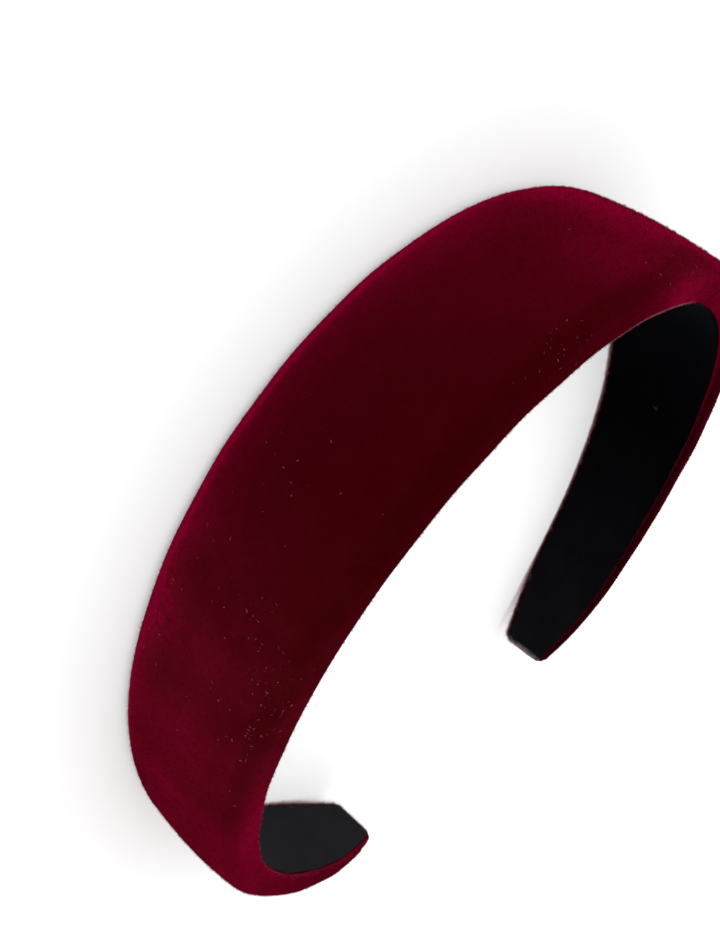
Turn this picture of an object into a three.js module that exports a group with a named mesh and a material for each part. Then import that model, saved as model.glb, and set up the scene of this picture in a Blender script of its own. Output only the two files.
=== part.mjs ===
// A wide velvet headband: a padded open C of cloth with a flat ribbon lining, lying on one long edge.
// Millimetres, +Z up. The crown points to +Y and the two blunt ends to -Y.
// The origin is the middle of the outline, on the surface that the band lies on.
import * as THREE from "three";

// The arch, along the seam line that runs round the band between its padded face and its inner side.
const crownRadius = 66;

// Half of the arch, from the middle of the crown to one end: arcs that run into each other smoothly,
// each with its radius as a share of crownRadius and the angle that it turns through.
const archArcs = [
  { name: "crown", radiusShare: 1, sweepDegrees: 82 },
  { name: "flank", radiusShare: 1.08, sweepDegrees: 26 },
  { name: "leg", radiusShare: 1.42, sweepDegrees: 18 },
  { name: "toe", radiusShare: 3.5, sweepDegrees: 7 },
];

// Widths from long edge to long edge. Seen from the side, the edges run straight from the crown to the
// toes, where the band draws in to its ends.
const crownWidth = 31.5;
const legWidth = 17.5;
const endWidth = 10.8;
const toeLength = 29;
const endCornerRadius = 1.8;

// The cover's section, at the crown and at the ends: the pad above the seam line, and the depth below it.
const crownPad = 4.9;
const endPad = 2.7;
const crownDepth = 3.4;
const endDepth = 1.9;
const crownShoulder = 3.8;
const endShoulder = 2.3;
const crownInnerCorner = 1;
const endInnerCorner = 0.5;
const domeRise = 0.5;
const sideShare = 0.2;

// Where the band lies, its lower long edge is pressed flat by this much.
const restPress = 0.25;

// The ribbon lies in a shallow channel between the turned-in rims of the velvet.
const crownRim = 1.4;
const endRim = 0.8;
const liningThickness = 1;
const liningProud = 0.2;
const liningSetback = 0.6;
const liningBevel = 0.25;
const fitGap = 0.3;
const channelDepth = liningThickness + fitGap - liningProud;

// Faces along half of the arch, round an end corner and over each curve of the section.
const archSteps = 34;
const cornerSteps = 4;
const domeSteps = 3;
const shoulderSteps = 6;
const innerCornerSteps = 3;

const velvet = new THREE.MeshStandardMaterial({ color: 0x5c0619, roughness: 0.95, metalness: 0 });
const ribbon = new THREE.MeshStandardMaterial({ color: 0x111417, roughness: 0.6, metalness: 0 });

const halfLength = archArcs.reduce(
  (length, arc) => length + crownRadius * arc.radiusShare * THREE.MathUtils.degToRad(arc.sweepDegrees),
  0,
);

// The seam line's place, the way out of the arch there, and the turn so far, at a distance along the arch
// from the middle of the crown. The negative side mirrors the positive one.
function archAt(distance) {
  let left = Math.abs(distance);
  let turn = 0;
  let x = 0;
  let y = 0;
  for (const arc of archArcs) {
    const radius = crownRadius * arc.radiusShare;
    const sweep = Math.min(left / radius, THREE.MathUtils.degToRad(arc.sweepDegrees));
    x += radius * (Math.sin(turn + sweep) - Math.sin(turn));
    y += radius * (Math.cos(turn + sweep) - Math.cos(turn));
    turn += sweep;
    left -= radius * sweep;
  }
  const side = Math.sign(distance);
  return {
    x: side * x,
    y,
    outX: side * Math.sin(turn),
    outY: Math.cos(turn),
  };
}

const archDepth = -archAt(halfLength).y;
const widthTaper = (crownWidth - legWidth) / archDepth;

// A size at a distance along the arch, easing from its value at the crown to its value at the ends.
function along(distance, crownValue, endValue) {
  const share = Math.abs(distance) / halfLength;
  return crownValue + (endValue - crownValue) * share * share;
}

// How far the round corner of a blunt end has cut in at a distance along the arch.
function endRounding(distance) {
  const intoCorner = Math.max(Math.abs(distance) - (halfLength - endCornerRadius), 0);
  return endCornerRadius - Math.sqrt(Math.max(endCornerRadius ** 2 - intoCorner ** 2, 0));
}

// Half the band's width at a distance along the arch.
function halfWidthAt(distance) {
  const edgeWidth = crownWidth + widthTaper * archAt(distance).y;
  const intoToe = Math.max(Math.abs(distance) - (halfLength - toeLength), 0) / toeLength;
  return (edgeWidth - (legWidth - endWidth) * intoToe ** 2) / 2 - endRounding(distance);
}

// Closes a profile from one half of it, which starts and ends on the middle line.
function mirrored(half) {
  const otherHalf = half.slice(1, -1).reverse();
  return [...half, ...otherHalf.map(([across, out]) => [-across, out])];
}

// The cover's section: a domed pad with round shoulders, upright sides, and the ribbon's channel inside.
function coverSection(distance) {
  const halfWidth = halfWidthAt(distance);
  const pad = along(distance, crownPad, endPad) - endRounding(distance);
  const depth = along(distance, crownDepth, endDepth);
  const shoulder = Math.min(along(distance, crownShoulder, endShoulder), halfWidth);
  const innerCorner = along(distance, crownInnerCorner, endInnerCorner);
  const rim = along(distance, crownRim, endRim);
  const sideTop = pad * sideShare;
  const shoulderRise = pad - domeRise - sideTop;
  const flatHalf = halfWidth - shoulder;
  const half = [];
  for (let step = 0; step <= domeSteps; step++) {
    const share = step / domeSteps;
    half.push([flatHalf * share, pad - domeRise * share * share]);
  }
  for (let step = 1; step <= shoulderSteps; step++) {
    const angle = (Math.PI / 2) * (step / shoulderSteps);
    half.push([flatHalf + shoulder * Math.sin(angle), sideTop + shoulderRise * Math.cos(angle)]);
  }
  for (let step = 0; step <= innerCornerSteps; step++) {
    const angle = (Math.PI / 2) * (step / innerCornerSteps);
    half.push([
      halfWidth - innerCorner * (1 - Math.cos(angle)),
      innerCorner * (1 - Math.sin(angle)) - depth,
    ]);
  }
  half.push([halfWidth - rim, -depth]);
  half.push([halfWidth - rim, channelDepth - depth]);
  half.push([0, channelDepth - depth]);
  return mirrored(half);
}

// The ribbon's section: a flat strip with eased edges that lies in the channel.
function liningSection(distance) {
  const halfWidth = halfWidthAt(distance) - along(distance, crownRim, endRim) - fitGap;
  const inner = -along(distance, crownDepth, endDepth) - liningProud;
  const outer = inner + liningThickness;
  return mirrored([
    [0, outer],
    [halfWidth - liningBevel, outer],
    [halfWidth, outer - liningBevel],
    [halfWidth, inner + liningBevel],
    [halfWidth - liningBevel, inner],
    [0, inner],
  ]);
}

// Distances along the arch from one end to the other, closer together round the end corners.
function stationsTo(end) {
  const cornerStart = halfLength - endCornerRadius;
  const stations = [];
  for (let step = 0; step <= archSteps; step++) {
    stations.push((cornerStart * step) / archSteps);
  }
  for (let step = 1; step <= cornerSteps; step++) {
    stations.push(cornerStart + (end - cornerStart) * Math.sin(((Math.PI / 2) * step) / cornerSteps));
  }
  const otherSide = stations.slice(1).reverse();
  return [...otherSide.map((distance) => -distance), ...stations];
}

// A closed surface through one section at each station, with a flat face at either end.
// shape may move a finished point.
function loft(stations, sectionAt, shape) {
  const rings = stations.map((distance) => sectionAt(distance));
  const sides = rings[0].length;
  const positions = [];
  rings.forEach((ring, row) => {
    const place = archAt(stations[row]);
    for (const [across, out] of ring) {
      const point = new THREE.Vector3(place.x + place.outX * out, place.y + place.outY * out, across);
      positions.push(...shape(point).toArray());
    }
  });
  const indices = [];
  for (let row = 0; row < rings.length - 1; row++) {
    for (let side = 0; side < sides; side++) {
      const here = row * sides + side;
      const next = row * sides + ((side + 1) % sides);
      indices.push(here, next, next + sides, here, next + sides, here + sides);
    }
  }
  const lastRow = (rings.length - 1) * sides;
  const capOf = (ring) => {
    const outline = ring.map(([across, out]) => new THREE.Vector2(out, across));
    return THREE.ShapeUtils.triangulateShape(outline, []);
  };
  for (const [a, b, c] of capOf(rings[0])) {
    indices.push(c, b, a);
  }
  for (const [a, b, c] of capOf(rings[rings.length - 1])) {
    indices.push(lastRow + a, lastRow + b, lastRow + c);
  }
  const geometry = new THREE.BufferGeometry();
  geometry.setAttribute("position", new THREE.Float32BufferAttribute(positions, 3));
  geometry.setIndex(indices);
  geometry.computeVertexNormals();
  return geometry;
}

// Presses what lies below the resting plane flat against it. The plane follows the lower long edge.
function pressFlat(point) {
  point.z = Math.max(point.z, restPress - crownWidth / 2 - (widthTaper / 2) * point.y);
  return point;
}

function velvetCover() {
  const mesh = new THREE.Mesh(loft(stationsTo(halfLength), coverSection, pressFlat), velvet);
  mesh.name = "velvet_cover";
  return mesh;
}

function ribbonLining() {
  const end = halfLength - liningSetback;
  const mesh = new THREE.Mesh(loft(stationsTo(end), liningSection, (point) => point), ribbon);
  mesh.name = "lining";
  return mesh;
}

// The band is built level and then leans over onto its lower edge, which narrows towards the ends.
const lean = Math.atan(widthTaper / 2);
const headband = new THREE.Group();
headband.add(velvetCover(), ribbonLining());
headband.rotation.x = lean;
headband.position.z = (crownWidth / 2 - restPress) * Math.cos(lean);
const outline = new THREE.Box3().setFromObject(headband, true);
headband.position.y = -(outline.min.y + outline.max.y) / 2;

export default headband;
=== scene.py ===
# A wide burgundy velvet headband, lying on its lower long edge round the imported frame. Metres.
import math
import random

import bpy
import numpy as np
from mathutils import Matrix, Vector


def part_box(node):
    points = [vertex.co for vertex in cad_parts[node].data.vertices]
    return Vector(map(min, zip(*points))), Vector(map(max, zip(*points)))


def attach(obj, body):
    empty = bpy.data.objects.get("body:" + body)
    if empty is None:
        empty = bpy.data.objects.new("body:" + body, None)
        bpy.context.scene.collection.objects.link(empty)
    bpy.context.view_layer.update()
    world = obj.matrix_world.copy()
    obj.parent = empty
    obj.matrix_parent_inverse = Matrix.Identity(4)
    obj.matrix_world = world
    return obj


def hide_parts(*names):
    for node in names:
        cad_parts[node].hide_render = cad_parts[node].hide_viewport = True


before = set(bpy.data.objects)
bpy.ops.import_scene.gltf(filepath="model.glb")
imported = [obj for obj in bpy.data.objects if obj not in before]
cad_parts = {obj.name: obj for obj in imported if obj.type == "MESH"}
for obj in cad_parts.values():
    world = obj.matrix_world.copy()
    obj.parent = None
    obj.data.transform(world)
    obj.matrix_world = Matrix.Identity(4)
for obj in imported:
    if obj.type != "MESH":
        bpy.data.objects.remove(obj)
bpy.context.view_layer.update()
print("frame loaded:", sorted(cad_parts))

band = {
    "crownRadius": 0.066,  # of the seam line between the padded face and the inner side
    "arcs": [  # half of the arch, from the crown to one end
        {"name": "crown", "radiusShare": 1, "turn": 82},
        {"name": "flank", "radiusShare": 1.08, "turn": 26},
        {"name": "leg", "radiusShare": 1.42, "turn": 18},
        {"name": "toe", "radiusShare": 3.5, "turn": 7},
    ],
    "crownWidth": 0.0315,  # from long edge to long edge
    "legWidth": 0.0175,
    "endWidth": 0.0108,
    "toeLength": 0.029,
    "endCorner": 0.0018,
    "restPress": 0.00025,  # how flat the lower edge is pressed where it lies
    "cornerRows": 8,  # rows of points round the corners of an end
    "floorClear": 0.00003,  # how far strands and lint keep off the surface that it lies on
}

halfLength = sum(
    band["crownRadius"] * arc["radiusShare"] * math.radians(arc["turn"]) for arc in band["arcs"]
)


# the seam line's place and the way out of the arch; negative distances run down the other leg
def archAt(distance):
    left = np.abs(distance)
    turn = np.zeros_like(left)
    x = np.zeros_like(left)
    y = np.zeros_like(left)
    for arc in band["arcs"]:
        radius = band["crownRadius"] * arc["radiusShare"]
        sweep = np.minimum(left / radius, math.radians(arc["turn"]))
        x = x + radius * (np.sin(turn + sweep) - np.sin(turn))
        y = y + radius * (np.cos(turn + sweep) - np.cos(turn))
        turn = turn + sweep
        left = left - radius * sweep
    side = np.where(distance < 0, -1.0, 1.0)
    return side * x, y, side * np.sin(turn), np.cos(turn)


archDepth = -float(archAt(np.array([halfLength]))[1][0])
widthTaper = (band["crownWidth"] - band["legWidth"]) / archDepth
lean = math.atan(widthTaper / 2)


# eases a size from the crown to the ends
def eased(distance, crownValue, endValue):
    return crownValue + (endValue - crownValue) * (np.abs(distance) / halfLength) ** 2


# how far the round corner of an end has cut in
def endRounding(distance):
    corner = band["endCorner"]
    into = np.clip(np.abs(distance) - (halfLength - corner), 0, corner)
    return corner - np.sqrt(np.maximum(corner**2 - into**2, 0))


# half of the band's width from long edge to long edge
def halfWidthAt(distance):
    edgeWidth = band["crownWidth"] + widthTaper * archAt(distance)[1]
    toe = band["toeLength"]
    intoToe = np.maximum(np.abs(distance) - (halfLength - toe), 0) / toe
    return (edgeWidth - (band["legWidth"] - band["endWidth"]) * intoToe**2) / 2 - endRounding(distance)


# the angles of a quarter turn in equal steps
def quarterTurn(steps):
    return [math.pi / 2 * step / steps for step in range(steps + 1)]


# from the band's own frame (arch in x and y, width in z) to the row's, where it leans onto its lower edge
def settled(points, shift):
    x, y, z = points.T
    turned = np.stack(
        [x, y * math.cos(lean) - z * math.sin(lean), y * math.sin(lean) + z * math.cos(lean)], axis=1
    )
    return turned + shift


def addedToScene(name, data):
    made = bpy.data.objects.new(name, data)
    bpy.context.scene.collection.objects.link(made)
    return made


# gives the points of a mesh a vector each, which its finish reads
def carry(mesh, key, values):
    layer = mesh.attributes.new(key, "FLOAT_VECTOR", "POINT")
    layer.data.foreach_set("vector", np.asarray(values, np.float32).ravel())


def meshFrom(name, points, faces, carried):
    mesh = bpy.data.meshes.new(name)
    mesh.from_pydata(points.tolist(), [], faces)
    for key, values in carried.items():
        carry(mesh, key, values)
    mesh.polygons.foreach_set("use_smooth", [True] * len(mesh.polygons))
    mesh.update()
    return addedToScene(name, mesh)


# the four corners of each quad between rings of points, each ring closed on itself
def ringQuads(rows, sides):
    row, side = np.meshgrid(np.arange(rows - 1), np.arange(sides), indexing="ij")
    here = (row * sides + side).ravel()
    there = (row * sides + (side + 1) % sides).ravel()
    return np.stack([here, there, there + sides, here + sides], axis=1)


# the velvet cover: a domed padded face with round shoulders, rolled over both edges and turned in
cover = {
    "crownPad": 0.0049,  # height of the padded face over the seam line
    "endPad": 0.0027,
    "crownDepth": 0.0034,  # from the seam line down to the turned-in rim
    "endDepth": 0.0019,
    "crownShoulder": 0.0038,
    "endShoulder": 0.0023,
    "crownCorner": 0.001,
    "endCorner": 0.0005,
    "crownRim": 0.0014,
    "endRim": 0.0008,
    "domeRise": 0.0005,
    "sideShare": 0.2,
    "bedDepth": 0.0007,  # how deep the ribbon's bed lies under the rim
    "lipRadius": 0.0003,  # of the rim's edge along the ribbon
    "rowPitch": 0.00055,
    "domeSteps": 10,
    "shoulderSteps": 9,
    "cornerSteps": 4,
    "lipSteps": 3,
    "capSteps": 4,
    "capBulge": 0.0004,
}


# half of the cover's sections, from the middle of the face round to the middle of the ribbon's bed
def coverHalf(distance):
    half = halfWidthAt(distance)
    pad = eased(distance, cover["crownPad"], cover["endPad"]) - endRounding(distance)
    depth = eased(distance, cover["crownDepth"], cover["endDepth"])
    shoulder = np.minimum(eased(distance, cover["crownShoulder"], cover["endShoulder"]), half)
    corner = eased(distance, cover["crownCorner"], cover["endCorner"])
    rim = eased(distance, cover["crownRim"], cover["endRim"])
    bed = cover["bedDepth"] * np.clip((halfLength - np.abs(distance)) / cover["bedDepth"], 0, 1)
    lip = np.minimum(cover["lipRadius"], bed)
    sideTop = pad * cover["sideShare"]
    flat = half - shoulder
    ring = []
    for step in range(cover["domeSteps"] + 1):
        share = step / cover["domeSteps"]
        ring.append((flat * share, pad - cover["domeRise"] * share**2))
    for angle in quarterTurn(cover["shoulderSteps"])[1:]:
        rise = (pad - cover["domeRise"] - sideTop) * math.cos(angle)
        ring.append((flat + shoulder * math.sin(angle), sideTop + rise))
    ring.append((half, (sideTop + corner - depth) / 2))
    for angle in quarterTurn(cover["cornerSteps"]):
        ring.append((half - corner * (1 - math.cos(angle)), corner * (1 - math.sin(angle)) - depth))
    for angle in quarterTurn(cover["lipSteps"]):
        ring.append((half - rim + lip * (1 - math.sin(angle)), lip * (1 - math.cos(angle)) - depth))
    ring.append((half - rim, bed - depth))
    ring.append(((half - rim) / 2, bed - depth))
    ring.append((0 * half, bed - depth))
    return ring


# both halves of the sections as arrays of rows by points: how far each point lies across the band and out
# of the arch, and how far round from the middle of the face, less than 0 on the lower half
def wholeRing(half):
    across = np.stack([point[0] for point in half], axis=1)
    out = np.stack([point[1] for point in half], axis=1)
    step = np.hypot(np.diff(across, axis=1), np.diff(out, axis=1))
    around = np.concatenate([np.zeros((len(across), 1)), np.cumsum(step, axis=1)], axis=1)
    back = slice(-2, 0, -1)
    across = np.concatenate([across, -across[:, back]], axis=1)
    out = np.concatenate([out, out[:, back]], axis=1)
    around = np.concatenate([around, -around[:, back]], axis=1)
    return across, out, around


# distances along the arch from one end to the other, closer together round the corners
def stationsTo(end, pitch):
    cornerStart = halfLength - band["endCorner"]
    straight = np.linspace(0, cornerStart, round(cornerStart / pitch) + 1)
    turn = np.array(quarterTurn(band["cornerRows"])[1:])
    half = np.concatenate([straight, cornerStart + (end - cornerStart) * np.sin(turn)])
    return np.concatenate([-half[:0:-1], half])


# the skin's points in the band's own frame, rows by sides, and their places on the cloth
def loftedBand(half, stations):
    across, out, around = wholeRing(half)
    x, y, outX, outY = (value[:, None] for value in archAt(stations))
    grid = np.stack([x + outX * out, y + outY * out, across], axis=2)
    lie = np.stack([np.broadcast_to(stations[:, None], around.shape), around, 0 * out], axis=2)
    return grid, lie


# the skin's points and faces, with each end closed by shrinking rings
def cappedSkin(grid, layers, capSteps, capBulge):
    rows, sides = grid.shape[:2]
    points = [grid.reshape(-1, 3)]
    carried = [[layer.reshape(-1, 3)] for layer in layers]
    faces = ringQuads(rows, sides).tolist()
    count = rows * sides
    for row, inner, way in ((0, 1, -1), (rows - 1, rows - 2, 1)):
        centre = grid[row].mean(axis=0)
        tangent = centre - grid[inner].mean(axis=0)
        tangent = tangent / np.linalg.norm(tangent)
        edge = row * sides
        for step in range(1, capSteps + 1):
            share = 1 - step / (capSteps + 1)
            points.append(centre + (grid[row] - centre) * share + tangent * capBulge * (1 - share**2))
            for kept, layer in zip(carried, layers):
                kept.append(layer[row])
            faces += joinedRings(edge, count, sides, way)
            edge = count
            count += sides
        points.append((centre + tangent * capBulge)[None])
        for kept, layer in zip(carried, layers):
            kept.append(layer[row, :1])
        for side in range(sides):
            corner = (edge + side, edge + (side + 1) % sides, count)
            faces.append(corner if way > 0 else corner[::-1])
        count += 1
    return np.concatenate(points), faces, *(np.concatenate(kept) for kept in carried)


# the faces between two rings of points, which start at first and second
def joinedRings(first, second, sides, way):
    faces = []
    for side in range(sides):
        after = (side + 1) % sides
        face = (first + side, first + after, second + after, second + side)
        faces.append(face if way > 0 else face[::-1])
    return faces


# how the cloth sits on the foam: long soft swells, small gathers on the turned-in rims, folds at the ends
cloth = {
    "seed": 5,
    "swell": 0.00007,
    "swellWave": 0.019,
    "gather": 0.00005,
    "gatherWave": 0.0034,
    "fold": 0.00022,
    "foldWave": 0.0017,
    "foldReach": 0.007,  # how far from the ends the folds run
    "spread": 0.3,  # how far the gathers and folds turn from one direction, where the swells have 1
    "faceFade": 3,  # the columns of points over which each of them dies away
    "rimFade": 3,
    "foldFade": 5,
}

# how many columns of points lie between the middle of the face and its end, the rounded edge's and the rim's
faceColumns = cover["domeSteps"] + cover["shoulderSteps"] + 1
edgeColumns = faceColumns + cover["cornerSteps"] + 1
rimColumns = edgeColumns + cover["lipSteps"] + 1


# how many columns a place round the section lies from the middle of the face, alike on both halves
def columnOf(sides):
    column = np.arange(sides)
    return np.minimum(column, sides - column)


waves = {"sets": 6, "shortest": 0.75, "longest": 1.45}  # shares of the length that is asked for


# smooth waves of about one length that cross each other, in all directions when spread is 1
def crossedWaves(along, around, wave, generator, spread=1.0):
    total = np.zeros_like(along)
    for _ in range(waves["sets"]):
        heading = generator.uniform(-math.pi / 2, math.pi / 2) * spread
        count = 2 * math.pi / (wave * generator.uniform(waves["shortest"], waves["longest"]))
        phase = generator.uniform(0, 2 * math.pi)
        total = total + np.sin(count * (along * math.cos(heading) + around * math.sin(heading)) + phase)
    return total / waves["sets"] ** 0.5


def normalsOf(grid):
    acrossWay = np.roll(grid, -1, axis=1) - np.roll(grid, 1, axis=1)
    alongWay = np.gradient(grid, axis=0)
    out = np.cross(acrossWay, alongWay)
    return out / np.maximum(np.linalg.norm(out, axis=2, keepdims=True), 1e-12)


def unevenCloth(grid, lie):
    along, around = lie[..., 0], lie[..., 1]
    generator = random.Random(cloth["seed"])
    column = columnOf(grid.shape[1])
    onFace = np.clip((rimColumns - column) / cloth["faceFade"], 0, 1)
    onRim = np.clip(1 - np.abs(column - edgeColumns - 1) / cloth["rimFade"], 0, 1)
    atEnd = np.clip(1 - (halfLength - np.abs(along)) / cloth["foldReach"], 0, 1)
    onCorner = np.clip(1 - np.abs(column - faceColumns) / cloth["foldFade"], 0, 1)
    swells = crossedWaves(along, around, cloth["swellWave"], generator)
    gathers = crossedWaves(along, around, cloth["gatherWave"], generator, cloth["spread"])
    folds = crossedWaves(around, along, cloth["foldWave"], generator, cloth["spread"])
    move = cloth["swell"] * swells * onFace
    move = move + cloth["gather"] * gathers * onRim
    move = move + cloth["fold"] * folds * atEnd * onCorner
    return grid + normalsOf(grid) * move[..., None]


# the lie of the pile: brushed from the upper edge over the face to the lower one, ruffled on the near leg,
# where its colours get a painted sheen
brushing = {
    "seed": 23,
    "lean": 0.30,  # how far the pile tips the light that the cloth gives back
    "leanToEdge": 0.55,  # more of it where the pile is combed over the lower edge
    "leanToTop": 0.08,  # and over the upper one
    "farTop": -0.95,  # though on the far leg that edge is combed inwards
    "farStart": 0.045,
    "farReach": 0.025,
    "pressed": 1.0,  # how flat the pile lies there where it turns in to the ribbon, and how fully its colour there is painted in shade
    "pressedFrom": 1.05,  # in half widths from the middle of the face
    "pressedReach": 0.30,
    "edgeMost": 1.3,  # in half widths, where it leans no further over either edge
    "leanAtEnds": -0.50,
    "smoothEnds": 0.4,  # how much less ruffled the ends are
    "endStart": 0.066,
    "endReach": 0.045,
    "swing": 0.10,  # how much it leans to and fro in patches
    "swingLeast": 0.4,  # the share of that where it isn't ruffled
    "swingWave": 0.016,
    "legStart": 0.030,
    "legReach": 0.040,
    "legShare": 0.85,  # how ruffled the near leg is, and the far one; the ruffle also paints a sheen into the colours
    "farShare": 0.05,
    "rubbedAndLit": [  # spots where the pile was pushed another way, and where their ruffle paints a sheen into the colours: where along and across, how far, how much
        {"name": "crownCorner", "spot": (0.0325, 0.0160), "reach": 0.0105, "lean": -1.20, "ruffle": 1.0},
        {"name": "crownTop", "spot": (0.018, -0.006), "reach": 0.015, "lean": -0.40, "ruffle": 0.0},
        {"name": "legEdge", "spot": (-0.064, -0.0150), "reach": 0.0085, "lean": 0.30, "ruffle": 0.4},
    ],
    "rubbedFalloff": 1.5,
}


# from 0 at the start to 1 a reach further on, smooth at both
def softStep(value, start, reach):
    share = np.clip((value - start) / reach, 0, 1)
    return share**2 * (3 - 2 * share)


# how much the pile is ruffled, which paints a sheen into its colours, or below 0 how flat it is pressed,
# which paints them in shade, and how far it leans
def brushed(lie):
    along, around = lie[..., 0], lie[..., 1]
    generator = random.Random(brushing["seed"])
    most = np.where(along < 0, brushing["legShare"], brushing["farShare"])
    ruffle = most * softStep(np.abs(along), brushing["legStart"], brushing["legReach"])
    swing = crossedWaves(along, around, brushing["swingWave"], generator)
    fromMiddle = around / halfWidthAt(along)
    toEdge = np.clip(-fromMiddle, 0, brushing["edgeMost"])
    toTop = np.clip(fromMiddle, 0, brushing["edgeMost"])
    toEnd = softStep(np.abs(along), brushing["endStart"], brushing["endReach"])
    ruffle = ruffle * (1 - brushing["smoothEnds"] * toEnd)
    far = softStep(along, brushing["farStart"], brushing["farReach"])
    overTop = brushing["leanToTop"] * (1 - far) + brushing["farTop"] * far
    amount = brushing["lean"] + brushing["leanToEdge"] * toEdge**3 + overTop * toTop**3
    amount = amount * (1 - toEnd) + brushing["leanAtEnds"] * toEnd
    amount = amount + brushing["swing"] * swing * (brushing["swingLeast"] + ruffle)
    for rub in brushing["rubbedAndLit"]:
        off = np.hypot(along - rub["spot"][0], around - rub["spot"][1]) / rub["reach"]
        near = np.exp(-(off**2) * brushing["rubbedFalloff"])
        amount = amount + rub["lean"] * near
        ruffle = ruffle + rub["ruffle"] * near
    # on the far leg the turned-in upper rim lies pressed flat, and its colours are painted in shade there
    onTurn = softStep(fromMiddle, brushing["pressedFrom"], brushing["pressedReach"])
    return np.clip(ruffle, 0, 1) - brushing["pressed"] * far * onTurn, amount


# the way that the pile leans in space, as long as it leans far
def napOf(grid, amount):
    nap = np.roll(grid, 1, axis=1) - np.roll(grid, -1, axis=1)
    nap = nap / np.maximum(np.linalg.norm(nap, axis=2, keepdims=True), 1e-9)
    return nap * amount[..., None]


coverRows = stationsTo(halfLength, cover["rowPitch"])
coverGrid, coverLie = loftedBand(coverHalf(coverRows), coverRows)
coverGrid = unevenCloth(coverGrid, coverLie)
coverGrid = settled(coverGrid.reshape(-1, 3), np.zeros(3)).reshape(coverGrid.shape)
coverLow, coverHigh = (np.array(corner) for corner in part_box("velvet_cover"))
bandShift = (coverLow + coverHigh - coverGrid.min(axis=(0, 1)) - coverGrid.max(axis=(0, 1))) / 2
bandShift[2] = (band["crownWidth"] / 2 - band["restPress"]) * math.cos(lean)
coverGrid = coverGrid + bandShift
coverGrid[..., 2] = np.maximum(coverGrid[..., 2], coverLow[2])
coverRuffle, coverAmount = brushed(coverLie)
coverLie[..., 2] = coverRuffle
coverNap = napOf(coverGrid, coverAmount)
coverPoints, coverFaces, coverLies, coverNaps = cappedSkin(
    coverGrid, (coverLie, coverNap), cover["capSteps"], cover["capBulge"]
)
coverTriangles = np.array(
    [
        (face[0], face[corner], face[corner + 1])
        for face in coverFaces
        for corner in range(1, len(face) - 1)
    ]
)
coverCloth = meshFrom("cover_cloth", coverPoints, coverFaces, {"lie": coverLies, "nap": coverNaps})
print("cover lofted:", len(coverFaces), "faces, shift", bandShift.round(5))

# the ribbon glued along the inner side
ribbon = {
    "thickness": 0.0006,
    "proud": 0.0002,
    "setback": 0.0006,
    "bevel": 0.00015,
    "rowPitch": 0.0009,
    "acrossSteps": 10,
    "clear": 0.00012,  # between its edges and the velvet's rims
    "wander": 0.00007,  # how far its edges wander from their line
    "wanderWave": 0.013,
    "wanderSpread": 0.2,
    "wanderMost": 1.4,  # in shares of the wander
    "selvedge": 0.00010,  # how far its woven edges stand up
    "selvedgeWidth": 0.0006,
    "seed": 3,
}


def ribbonHalfWidth(distance):
    generator = random.Random(ribbon["seed"])
    wander = crossedWaves(distance, 0 * distance, ribbon["wanderWave"], generator, ribbon["wanderSpread"])
    bed = halfWidthAt(distance) - eased(distance, cover["crownRim"], cover["endRim"])
    return bed - ribbon["clear"] + ribbon["wander"] * np.clip(
        wander, -ribbon["wanderMost"], ribbon["wanderMost"]
    )


def ribbonHalf(distance):
    half = ribbonHalfWidth(distance)
    inner = -eased(distance, cover["crownDepth"], cover["endDepth"]) - ribbon["proud"]
    outer = inner + ribbon["thickness"]
    bevel = ribbon["bevel"]
    ring = []
    shares = [math.sin(angle) for angle in quarterTurn(ribbon["acrossSteps"])]
    for share in shares:
        ring.append(((half - bevel) * share, outer))
    ring.append((half, outer - bevel))
    ring.append((half, inner + bevel))
    for share in reversed(shares):
        fromEdge = (half - bevel) * (1 - share)
        ridge = ribbon["selvedge"] * np.exp(-((fromEdge / ribbon["selvedgeWidth"]) ** 2))
        ring.append(((half - bevel) * share, inner - ridge))
    return ring


ribbonRows = stationsTo(halfLength - ribbon["setback"], ribbon["rowPitch"])
ribbonGrid, ribbonLie = loftedBand(ribbonHalf(ribbonRows), ribbonRows)
ribbonGrid = settled(ribbonGrid.reshape(-1, 3), bandShift).reshape(ribbonGrid.shape)
ribbonPoints, ribbonFaces, ribbonLies = cappedSkin(ribbonGrid, (ribbonLie,), 1, 0)
ribbonStrip = meshFrom("ribbon_strip", ribbonPoints, ribbonFaces, {"lie": ribbonLies})
print("ribbon laid:", len(ribbonFaces), "faces")

# where the four corners of a spike lie in its cell of the map that the patterns can be baked to
spikeMap = {"name": "OFBake", "corners": [(0.04, 0.04), (0.96, 0.04), (0.5, 0.96), (0.5, 0.34)]}


strandSkew = np.array([0.31, 0.22, 0.92])  # the corners of the roots are turned away from this direction


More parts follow.
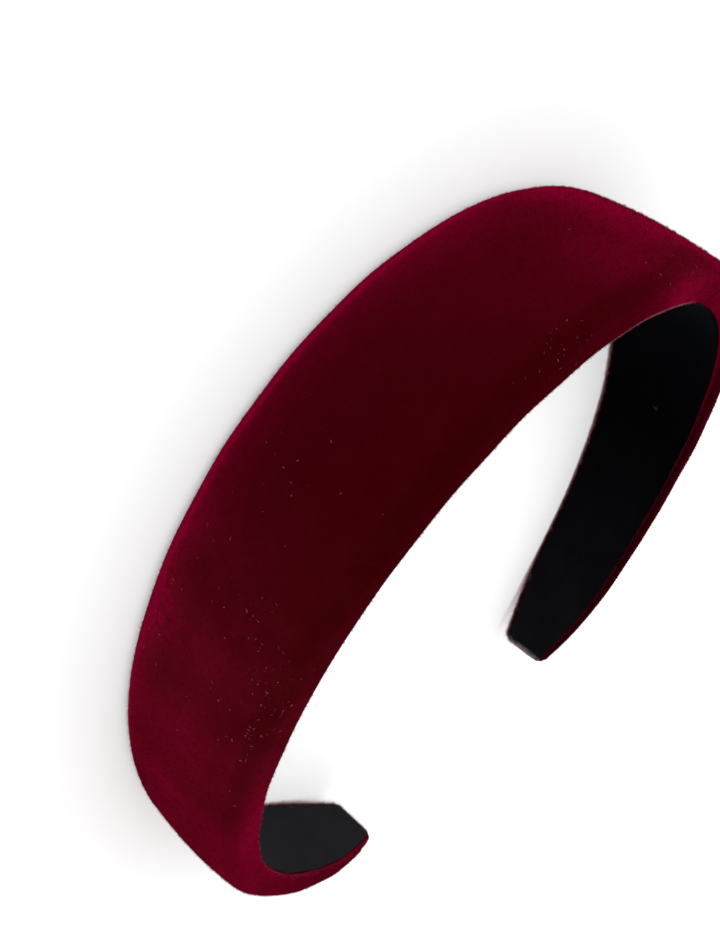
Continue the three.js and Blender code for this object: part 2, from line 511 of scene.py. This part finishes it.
# many small closed spikes as one mesh; each has a three-cornered root and a tip
def spikes(name, roots, ways, lengths, radius, lies):
    count = len(roots)
    aside = np.cross(ways, strandSkew)
    aside = aside / np.linalg.norm(aside, axis=1, keepdims=True)
    third = np.cross(ways, aside)
    corners = []
    for turn in (0, 2 * math.pi / 3, 4 * math.pi / 3):
        corners.append(roots + radius * (aside * math.cos(turn) + third * math.sin(turn)))
    corners.append(roots + ways * lengths[:, None])
    points = np.stack(corners, axis=1).reshape(-1, 3)
    points[:, 2] = np.maximum(points[:, 2], band["floorClear"])
    corner = np.array([[0, 2, 1], [0, 1, 3], [1, 2, 3], [2, 0, 3]])
    triangles = (corner[None] + 4 * np.arange(count)[:, None, None]).reshape(-1, 3)
    mesh = bpy.data.meshes.new(name)
    mesh.vertices.add(len(points))
    mesh.vertices.foreach_set("co", points.astype(np.float32).ravel())
    mesh.loops.add(triangles.size)
    mesh.loops.foreach_set("vertex_index", triangles.astype(np.int32).ravel())
    mesh.polygons.add(len(triangles))
    mesh.polygons.foreach_set("loop_start", np.arange(0, triangles.size, 3, dtype=np.int32))
    mesh.polygons.foreach_set("use_smooth", np.ones(len(triangles), bool))
    lie = np.repeat(lies, 4, axis=0)
    lie[:, 1] = lie[:, 2]
    lie[:, 2] = np.tile([0.0, 0.0, 0.0, 1.0], count)
    carry(mesh, "lie", lie)  # along the arch, how ruffled (a painted sheen, or below 0 a painted shade), and 1 at the tip
    cells = math.ceil(count**0.5)
    cell = np.stack([np.arange(count) % cells, np.arange(count) // cells], axis=1)
    places = (cell[:, None] + np.array(spikeMap["corners"])).reshape(-1, 2) / cells
    mesh.update(calc_edges=True)
    laid = mesh.uv_layers.new(name=spikeMap["name"], do_init=False)
    laid.uv.foreach_set("vector", places[triangles.ravel()].astype(np.float32).ravel())
    return addedToScene(name, mesh)


# the pile: short strands all over the velvet that shows, leaning with the nap
pile = {
    "seed": 41,
    "strands": 46000,  # in each of the pieces
    "pieces": ["pile_a", "pile_b"],
    "length": 0.00040,
    "lengthSpread": 0.25,
    "radius": 0.000030,
    "sink": 0.00005,
    "combed": 1.0,  # how far the strands lean along the nap
    "ruffle": 0.30,
    "edgeShare": 1.5,  # the pile shows most where the velvet rolls over its edges
    "edgeFrom": 3,  # columns past the dome
}

# finer strands that stand out from the two inner corners and round the ends, painted pale: a painted sheen
# along the edges
fuzz = {
    "upper": {
        "seed": 17,
        "strands": 12000,
        "length": 0.00026,
        "lengthSpread": 0.35,
        "radius": 0.000014,
        "sink": 0.00005,
        "combed": 0.0,
        "ruffle": 0.45,
        "columns": (-2, -1),  # the first and last that it grows on, from the end of the rounded edge
    },
    "lower": {
        "seed": 18,
        "strands": 44000,
        "length": 0.00100,
        "lengthSpread": 0.35,
        "radius": 0.000018,
        "sink": 0.00005,
        "combed": 0.0,
        "ruffle": 0.40,
        "columns": (-3, 0),
    },
    "endStrip": 0.0010,  # the strip of velvet past the ribbon's end that has fuzz too
    "endShare": 1.8,
    "onLeg": 0.06,  # how much of it the upper edge still has on the near leg
    "fadeStart": 0.029,
    "fadeReach": 0.012,
}


# random places on the skin, with the way out, the nap and the place on the cloth at each
def placesOn(weight, count, generator):
    corners = coverPoints[coverTriangles]
    normal = np.cross(corners[:, 1] - corners[:, 0], corners[:, 2] - corners[:, 0])
    area = np.linalg.norm(normal, axis=1)
    normal = normal / np.maximum(area[:, None], 1e-12)
    chance = area * weight[coverTriangles].mean(axis=1)
    picked = generator.choice(len(chance), count, p=chance / chance.sum())
    u, v = generator.random((2, count, 1))
    u, v = np.where(u + v > 1, 1 - u, u), np.where(u + v > 1, 1 - v, v)
    a, b, c = corners[picked].transpose(1, 0, 2)
    root = coverTriangles[picked, 0]
    return a + (b - a) * u + (c - a) * v, normal[picked], coverNaps[root], coverLies[root]


shortestStrand = 0.3  # as a share of the usual length


# strands on the skin, as many at each place as its weight says
def strandsOn(name, settings, weight, generator):
    count = settings["strands"]
    place, out, nap, lie = placesOn(weight, count, generator)
    loose = settings["ruffle"] * (1 + lie[:, 2:])
    ways = out + nap * settings["combed"] + generator.normal(0, 1, (count, 3)) * loose
    ways = ways / np.linalg.norm(ways, axis=1, keepdims=True)
    lengths = settings["length"] * (1 + settings["lengthSpread"] * generator.normal(0, 1, count))
    lengths = np.maximum(lengths, settings["length"] * shortestStrand)
    return spikes(name, place - out * settings["sink"], ways, lengths, settings["radius"], lie)


# which column of the section each point of the skin belongs to; the ends' own points count as face
def skinColumns():
    rows, sides = coverGrid.shape[:2]
    columns = np.tile(columnOf(sides), rows)
    return np.concatenate([columns, np.zeros(len(coverPoints) - len(columns), int)])


def growPile():
    column = skinColumns()
    weight = np.where(column < cover["domeSteps"] + pile["edgeFrom"], 1.0, pile["edgeShare"])
    weight = np.where(column < rimColumns, weight, 0.0)
    generator = np.random.default_rng(pile["seed"])
    return [strandsOn(name, pile, weight, generator) for name in pile["pieces"]]


# side is 1 for the upper half of the skin and -1 for the lower one
def growFuzz(name, side):
    first, last = fuzz[name]["columns"]
    column = skinColumns()
    along, around = coverLies[:, 0], coverLies[:, 1] * side
    onCorner = (column >= edgeColumns + first) & (column <= edgeColumns + last)
    weight = np.where(onCorner & (around > 0), 1.0, 0.0)
    if side > 0:
        fade = softStep(np.abs(along), fuzz["fadeStart"], fuzz["fadeReach"])
        weight = weight * (1 - (1 - fuzz["onLeg"] * (along < 0)) * fade)
    else:
        onEnd = (np.abs(along) > halfLength - fuzz["endStrip"]) & (column > edgeColumns)
        weight = np.where(onEnd, fuzz["endShare"], weight)
    generator = np.random.default_rng(fuzz[name]["seed"])
    return strandsOn("fuzz_" + name, fuzz[name], weight, generator)


pilePieces = growPile()
edgeFuzz = [growFuzz("upper", 1), growFuzz("lower", -1)]
print("pile grown:", len(pilePieces) * pile["strands"], "strands")

# lint caught in the pile: where each cluster lies along the arch and across, how far it spreads, how many
lint = {
    "seed": 9,
    "length": 0.00040,
    "radius": 0.000075,
    "bend": 0.3,
    "depth": 0.00022,  # how high over the cloth it lies, among the strands
    "lengths": (0.5, 1.5),  # the least and the most, as shares of the above
    "radii": (0.5, 1.2),
    "depths": (0.7, 1.3),
    "tipShare": 0.3,  # how thick a thread still is at its tips
    "ribbonLift": 0.4,  # how high over the ribbon a speck's middle lies, in its radius
    "steps": 4,
    "sides": 5,
    "clusters": [
        {"name": "legTop", "along": -0.0560, "across": 0.0045, "spread": (0.0030, 0.0030), "count": 12},
        {"name": "legMiddle", "along": -0.0615, "across": 0.0100, "spread": (0.0035, 0.0028), "count": 34},
        {"name": "legLow", "along": -0.0685, "across": 0.0125, "spread": (0.0030, 0.0016), "count": 36},
        {"name": "legFoot", "along": -0.0790, "across": 0.0075, "spread": (0.0040, 0.0030), "count": 12},
        {"name": "legEdge", "along": -0.0630, "across": -0.0105, "spread": (0.0060, 0.0018), "count": 16},
        {"name": "leg", "along": -0.0600, "across": 0.0000, "spread": (0.0160, 0.0060), "count": 40},
        {"name": "flank", "along": -0.0400, "across": -0.0090, "spread": (0.0070, 0.0040), "count": 12},
        {"name": "shoulder", "along": -0.0040, "across": 0.0150, "spread": (0.0045, 0.0014), "count": 22},
        {"name": "crown", "along": 0.0270, "across": 0.0145, "spread": (0.0060, 0.0014), "count": 20},
        {"name": "farLeg", "along": 0.0850, "across": 0.0000, "spread": (0.0400, 0.0050), "count": 40},
    ],
    "onRibbon": [
        {"along": 0.1084, "across": 0.0207, "length": 0.0014, "radius": 0.00034},
        {"along": -0.1624, "across": -0.0161, "length": 0.0014, "radius": 0.00012},
    ],
}


# a short bent thread, tapered at both ends
def threadRings(middle, way, aside, out, length, radius, bend):
    rings = []
    for step in range(lint["steps"] + 1):
        share = step / lint["steps"]
        swing = bend * length * math.sin(math.pi * share)
        centre = middle + way * length * (share - 0.5) + aside * swing
        thick = radius * (lint["tipShare"] + (1 - lint["tipShare"]) * math.sin(math.pi * share))
        ring = []
        for side in range(lint["sides"]):
            turn = 2 * math.pi * side / lint["sides"]
            ring.append(centre + thick * (aside * math.cos(turn) + out * math.sin(turn)))
        rings.append(ring)
    return np.array(rings).reshape(-1, 3)


# the place on a skin at a distance along and round it: the point, the way out and the way along
def placeOn(grid, lie, rows, along, around):
    row = int(np.clip(np.searchsorted(rows, along), 1, len(rows) - 2))
    sides = grid.shape[1]
    column = int(np.abs(lie[row, :, 1] - around).argmin())
    way = grid[row + 1, column] - grid[row - 1, column]
    way = way / np.linalg.norm(way)
    out = np.cross(grid[row, (column + 1) % sides] - grid[row, column - 1], way)
    return grid[row, column], out / np.linalg.norm(out), way


def laidThread(place, out, way, turn, length, radius, bend):
    heading = way * math.cos(turn) + np.cross(out, way) * math.sin(turn)
    return threadRings(place, heading, np.cross(out, heading), out, length, radius, bend)


def scatterLint():
    generator = random.Random(lint["seed"])
    threads, shades = [], []  # a shade is how pale a thread is, and whether it lies on the ribbon
    for cluster in lint["clusters"]:
        for _ in range(cluster["count"]):
            along = generator.gauss(cluster["along"], cluster["spread"][0])
            across = generator.gauss(cluster["across"], cluster["spread"][1])
            place, out, way = placeOn(coverGrid, coverLie, coverRows, along, across)
            turn = generator.uniform(0, math.pi)
            length = lint["length"] * generator.uniform(*lint["lengths"])
            radius = lint["radius"] * generator.uniform(*lint["radii"])
            bend = lint["bend"] * generator.uniform(-1, 1)
            middle = place + out * lint["depth"] * generator.uniform(*lint["depths"])
            threads.append(laidThread(middle, out, way, turn, length, radius, bend))
            shades.append((generator.random() ** 2, 0.0, 0.0))  # most of it is faint
    for speck in lint["onRibbon"]:
        place, out, way = placeOn(ribbonGrid, ribbonLie, ribbonRows, speck["along"], speck["across"])
        turn = generator.uniform(0, math.pi)
        middle = place + out * speck["radius"] * lint["ribbonLift"]
        threads.append(laidThread(middle, out, way, turn, speck["length"], speck["radius"], lint["bend"]))
        shades.append((0.0, 1.0, 0.0))
    return threadMesh("lint", threads, shades)


def threadMesh(name, threads, shades):
    sides = lint["sides"]
    quads = ringQuads(lint["steps"] + 1, sides)
    points = np.concatenate(threads)
    points[:, 2] = np.maximum(points[:, 2], band["floorClear"])
    faces = []
    for first in range(0, len(points), len(threads[0])):
        last = first + len(threads[0]) - sides
        faces += (quads + first).tolist()
        faces.append([first + side for side in reversed(range(sides))])
        faces.append([last + side for side in range(sides)])
    carried = {"shade": np.repeat(np.array(shades), len(threads[0]), axis=0)}
    return meshFrom(name, points, faces, carried)


lintPiece = scatterLint()
print("lint scattered:", sum(cluster["count"] for cluster in lint["clusters"]))


# a shader socket that can be added, multiplied and so on like a number
class Wire:
    def __init__(self, finish, socket):
        self.finish = finish
        self.socket = socket

    def __add__(self, other):
        return self.finish.maths("ADD", self, other)

    def __radd__(self, other):
        return self.finish.maths("ADD", other, self)

    def __sub__(self, other):
        return self.finish.maths("SUBTRACT", self, other)

    def __rsub__(self, other):
        return self.finish.maths("SUBTRACT", other, self)

    def __mul__(self, other):
        return self.finish.maths("MULTIPLY", self, other)

    def __rmul__(self, other):
        return self.finish.maths("MULTIPLY", other, self)

    def __truediv__(self, other):
        return self.finish.maths("DIVIDE", self, other)

    def clamped(self):
        return self.finish.node("Clamp", {}, {"Value": self, "Min": 0.0, "Max": 1.0})


# one material and what goes into it
class Finish:
    def __init__(self, name):
        self.material = bpy.data.materials.new(name)
        self.material.use_nodes = True
        self.tree = self.material.node_tree
        self.tree.nodes.clear()
        self.output = self.tree.nodes.new("ShaderNodeOutputMaterial")

    def node(self, kind, settings, sockets, out=0):
        made = self.tree.nodes.new("ShaderNode" + kind)
        for key, value in settings.items():
            setattr(made, key, value)
        for key, value in sockets.items():
            if isinstance(value, Wire):
                self.tree.links.new(value.socket, made.inputs[key])
            else:
                made.inputs[key].default_value = value
        return Wire(self, made.outputs[out])

    def maths(self, operation, first, second):
        return self.node("Math", {"operation": operation}, {0: first, 1: second})

    def mixed(self, factor, first, second):
        return self.node("Mix", {"data_type": "RGBA"}, {"Factor": factor, 6: first, 7: second}, out=2)

    def carried(self, key):
        return self.node("Attribute", {"attribute_name": key}, {}, out="Vector")

    def part(self, vector, axis):
        return self.node("SeparateXYZ", {}, {0: vector}, out=axis)

    def noise(self, place, scale, detail, roughness):
        return self.node(
            "TexNoise", {}, {"Vector": place, "Scale": scale, "Detail": detail, "Roughness": roughness}
        )

    def bumped(self, height, relief, **others):
        return self.node("Bump", {}, {"Height": height, "Distance": relief, "Strength": 0.5, **others})

    def surface(self, sockets):
        shader = self.node("BsdfPrincipled", {}, sockets)
        self.tree.links.new(shader.socket, self.output.inputs["Surface"])
        return self.material


velvetFinish = {
    # painted shade for the far leg's turned-in upper rim, where the pile is also pressed flat
    "pressed": (0.0080, 0.0001, 0.0004, 1),
    "deep": (0.0295, 0.0005, 0.0009, 1),
    # lit is paler pile: the random patches reach towards it, and the ruffled pile gets it as a painted sheen
    "lit": (0.0520, 0.0022, 0.0036, 1),
    "ruffleSheen": 0.75,  # how much nearer to lit the ruffled pile is painted: a painted sheen
    "patchShade": 0.8,  # how much its patches differ
    "ruffledPatches": 1.4,  # and how much more of that where it is ruffled
    "patchScale": 170,
    "pileScale": 5200,
    "pileRelief": 0.00012,
    "grainScale": 900,
    "grainTip": 1.5,  # how far the fine grain tips the pile to and fro
}

# the glow of pile at grazing edges, the same on the cloth and on its strands
velvetSheen = {
    "Specular IOR Level": 0.0,
    "Sheen Weight": 1.0,
    "Sheen Roughness": 0.42,
    "Sheen Tint": (0.40, 0.0, 0.046, 1),
}


# the cloth's own direction, tipped along the nap and a little to and fro in fine grains
def tippedNormal(made, place, ruffle):
    nap = made.carried("nap")
    grains = made.noise(place, velvetFinish["grainScale"], 3, 0.65)
    amount = 1 + velvetFinish["grainTip"] * (0.5 + ruffle) * (grains - 0.5)
    tipped = made.node("VectorMath", {"operation": "SCALE"}, {0: nap, "Scale": amount})
    facing = made.node("NewGeometry", {}, {}, out="Normal")
    return made.node("VectorMath", {"operation": "ADD"}, {0: facing, 1: tipped})


def velvetMaterial():
    made = Finish("burgundyVelvet")
    ruffle = made.part(made.carried("lie"), "Z")
    place = made.node("TexCoord", {}, {}, out="Object")
    grain = made.noise(place, velvetFinish["pileScale"], 2, 0.6)
    patches = made.noise(place, velvetFinish["patchScale"], 4, 0.6) - 0.5
    patchy = patches * (velvetFinish["patchShade"] + ruffle * velvetFinish["ruffledPatches"])
    # ruffled pile is painted nearer to lit, a painted sheen, while the patches differ at random
    shade = (ruffle * velvetFinish["ruffleSheen"] + patchy).clamped()
    colour = made.mixed(shade, velvetFinish["deep"], velvetFinish["lit"])
    # where the pile is pressed, on the far leg's upper rim, the colour is painted in shade
    colour = made.mixed((0 - ruffle).clamped(), colour, velvetFinish["pressed"])
    tipped = tippedNormal(made, place, ruffle)
    relief = made.bumped(grain, velvetFinish["pileRelief"], Normal=tipped)
    return made.surface({"Base Color": colour, "Roughness": 0.95, "Normal": relief, **velvetSheen})


# strand colours: the root is painted darker than the tip, as shade among the strands, and ruffled tips
# paler, as a painted sheen
strandFinish = {
    "root": (0.0340, 0.0006, 0.0012, 1),
    "tip": (0.0430, 0.0008, 0.0020, 1),
    "ruffledSheen": (0.0720, 0.0040, 0.0065, 1),
    # the fuzz's pale colours are a painted sheen where the edges catch the light
    "upperSheenRoot": (0.110, 0.008, 0.020, 1),
    "upperSheenTip": (0.72, 0.26, 0.35, 1),
    "lowerSheenRoot": (0.26, 0.13, 0.16, 1),
    "lowerSheenTip": (0.80, 0.68, 0.71, 1),
}


# the pile's strands are painted darker towards the root, a painted shade among them; paler where they are
# ruffled, a painted sheen; and in painted shade where pressed flat
def pileMaterial():
    made = Finish("velvetStrands")
    lie = made.carried("lie")
    ruffle = made.part(lie, "Y")
    end = made.mixed(ruffle.clamped(), strandFinish["tip"], strandFinish["ruffledSheen"])
    colour = made.mixed(made.part(lie, "Z"), strandFinish["root"], end)
    # pressed strands on the far leg's upper rim are painted in shade
    colour = made.mixed((0 - ruffle).clamped(), colour, velvetFinish["pressed"])
    return made.surface({"Base Color": colour, "Roughness": 0.9, **velvetSheen})


# the fuzz is painted pale, paler towards the tip: a painted sheen
def fuzzMaterial(name, root, tip):
    made = Finish(name)
    colour = made.mixed(made.part(made.carried("lie"), "Z"), root, tip)
    return made.surface({"Base Color": colour, "Roughness": 0.9, "Specular IOR Level": 0.0})


lintFinish = {
    "faint": (0.075, 0.004, 0.009, 1),
    "pale": (0.27, 0.045, 0.065, 1),
    "dusty": (0.0120, 0.0115, 0.0125, 1),  # on the ribbon
}


def lintMaterial():
    made = Finish("paleLint")
    shade = made.carried("shade")
    colour = made.mixed(made.part(shade, "X"), lintFinish["faint"], lintFinish["pale"])
    colour = made.mixed(made.part(shade, "Y"), colour, lintFinish["dusty"])
    return made.surface({"Base Color": colour, "Roughness": 0.9, "Specular IOR Level": 0.1})


ribbonFinish = {
    "thread": (0.0004, 0.0004, 0.0007, 1),
    "worn": (0.0014, 0.0014, 0.0019, 1),
    "dusty": (0.0135, 0.0130, 0.0150, 1),  # pale grey: dust from rubbing on hair, and painted light where the lining is lit
    "dustAndLightFadeStart": 0.008,  # past here, down the far leg, it has less and less dust and painted light
    "dustAndLightFadeReach": 0.034,
    "farEndStart": 0.115,  # though its far end gets a little dust and painted light again
    "farEndDustAndLight": 0.30,
    "cloudScale": 120,
    "ribScale": 700,
    "ribRelief": 0.00004,
    "dustOnRibs": 0.6,  # how much more dust lies on the ribs than between them
    "sheenTint": (0.5, 0.6, 0.7, 1),
}


def ribbonMaterial():
    made = Finish("blackRibbon")
    lie = made.carried("lie")
    cloudy = made.noise(lie, ribbonFinish["cloudScale"], 3, 0.6)
    ribs = made.node(
        "TexWave",
        {"wave_type": "BANDS", "bands_direction": "X"},
        {"Vector": lie, "Scale": ribbonFinish["ribScale"], "Distortion": 0.4, "Detail": 1},
        out=1,
    )
    along = made.part(lie, "X")
    # paler over the crown and near leg and a little at the far end: partly dust, partly painted light
    rubbedAndLit = (1 - (along - ribbonFinish["dustAndLightFadeStart"]) / ribbonFinish["dustAndLightFadeReach"]).clamped()
    farEnd = (along - ribbonFinish["farEndStart"]) / (halfLength - ribbonFinish["farEndStart"])
    wearAndLight = rubbedAndLit + farEnd.clamped() * ribbonFinish["farEndDustAndLight"]
    dustAndLight = (wearAndLight * (0.5 + cloudy) * (1 + (ribs - 0.5) * ribbonFinish["dustOnRibs"])).clamped()
    colour = made.mixed(cloudy, ribbonFinish["thread"], ribbonFinish["worn"])
    colour = made.mixed(dustAndLight, colour, ribbonFinish["dusty"])
    return made.surface(
        {
            "Base Color": colour,
            "Roughness": 0.62,
            "Specular IOR Level": 0.0,
            "Sheen Weight": 0.02,
            "Sheen Roughness": 0.4,
            "Sheen Tint": ribbonFinish["sheenTint"],
            "Normal": made.bumped(ribs, ribbonFinish["ribRelief"]),
        }
    )


coverCloth.data.materials.append(velvetMaterial())
ribbonStrip.data.materials.append(ribbonMaterial())
pileSkin = pileMaterial()
for piece in pilePieces:
    piece.data.materials.append(pileSkin)
edgeFuzz[0].data.materials.append(
    fuzzMaterial("upperSheenStrands", strandFinish["upperSheenRoot"], strandFinish["upperSheenTip"])
)
edgeFuzz[1].data.materials.append(
    fuzzMaterial("lowerSheenStrands", strandFinish["lowerSheenRoot"], strandFinish["lowerSheenTip"])
)
lintPiece.data.materials.append(lintMaterial())

for piece, node, slot in ((coverCloth, "velvet_cover", "velvet"), (ribbonStrip, "lining", "ribbon")):
    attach(piece, "root")
    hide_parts(node)
for piece in (*pilePieces, *edgeFuzz, lintPiece):
    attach(piece, "root")


# the ribbon's cut: as long as the inner side, as wide as the strip at each place
def ribbonCut():
    inner = -eased(ribbonRows, cover["crownDepth"], cover["endDepth"]) - ribbon["proud"]
    x, y, outX, outY = archAt(ribbonRows)
    steps = np.hypot(np.diff(x + outX * inner), np.diff(y + outY * inner))
    widths = 2 * ribbonHalfWidth(ribbonRows)
    area = float((steps * (widths[1:] + widths[:-1]) / 2).sum())
    return float(widths.max()), float(steps.sum()), area


cutWidth, cutLength, cutArea = ribbonCut()
print("ribbon cut:", round(cutWidth, 4), round(cutLength, 4), round(cutArea, 5))

# the photograph's viewing angle
eye = {
    "place": (-0.10092, 0.17352, 0.09240),
    "aim": (-0.01347, 0.02968, 0.0),
    "roll": 124.91,
    "lens": 56.67,
    "sensor": 36.0,
    "nearest": 0.005,  # what is closer isn't drawn
}


def setCamera():
    data = bpy.data.cameras.new("eye")
    data.lens = eye["lens"]
    data.sensor_width = eye["sensor"]
    data.sensor_fit = "HORIZONTAL"
    data.clip_start = eye["nearest"]
    made = addedToScene("eye", data)
    place = Vector(eye["place"])
    upright = (Vector(eye["aim"]) - place).to_track_quat("-Z", "Y").to_matrix().to_4x4()
    made.matrix_world = Matrix.Translation(place) @ upright @ Matrix.Rotation(
        math.radians(eye["roll"]), 4, "Z"
    )
    bpy.context.scene.camera = made


studio = {
    "floorReach": 6.0,
    "floorColour": (0.75, 0.75, 0.75, 1),
    "floorGlow": 0.32,  # it is lit a little from below, as a light table is
    "worldColour": (1.0, 1.0, 1.0, 1),
    "worldStrength": 1.03,
    "lamps": [  # where the light comes from, how wide it looks in degrees and how strong it is
        {"name": "key", "place": (0.15, 1.0, 0.8), "width": 50, "strength": 0.45},
    ],
}


def setStudio():
    reach = studio["floorReach"]
    corners = np.array([(-reach, -reach, 0), (reach, -reach, 0), (reach, reach, 0), (-reach, reach, 0)])
    floor = meshFrom("floor", corners, [(0, 1, 2, 3)], {})
    finish = Finish("paleFloor").surface(
        {
            "Base Color": studio["floorColour"],
            "Roughness": 0.9,
            "Emission Color": studio["worldColour"],
            "Emission Strength": studio["floorGlow"],
        }
    )
    floor.data.materials.append(finish)
    world = bpy.data.worlds.new("studio")
    world.use_nodes = True
    background = world.node_tree.nodes["Background"]
    background.inputs["Color"].default_value = studio["worldColour"]
    background.inputs["Strength"].default_value = studio["worldStrength"]
    bpy.context.scene.world = world
    for lamp in studio["lamps"]:
        data = bpy.data.lights.new(lamp["name"], "SUN")
        data.angle = math.radians(lamp["width"])
        data.energy = lamp["strength"]
        light = addedToScene(lamp["name"], data)
        light.location = lamp["place"]
        light.rotation_euler = (-Vector(lamp["place"])).to_track_quat("-Z", "Y").to_euler()


setCamera()
setStudio()
bpy.context.scene.view_settings.view_transform = "Standard"
print("camera and studio set")
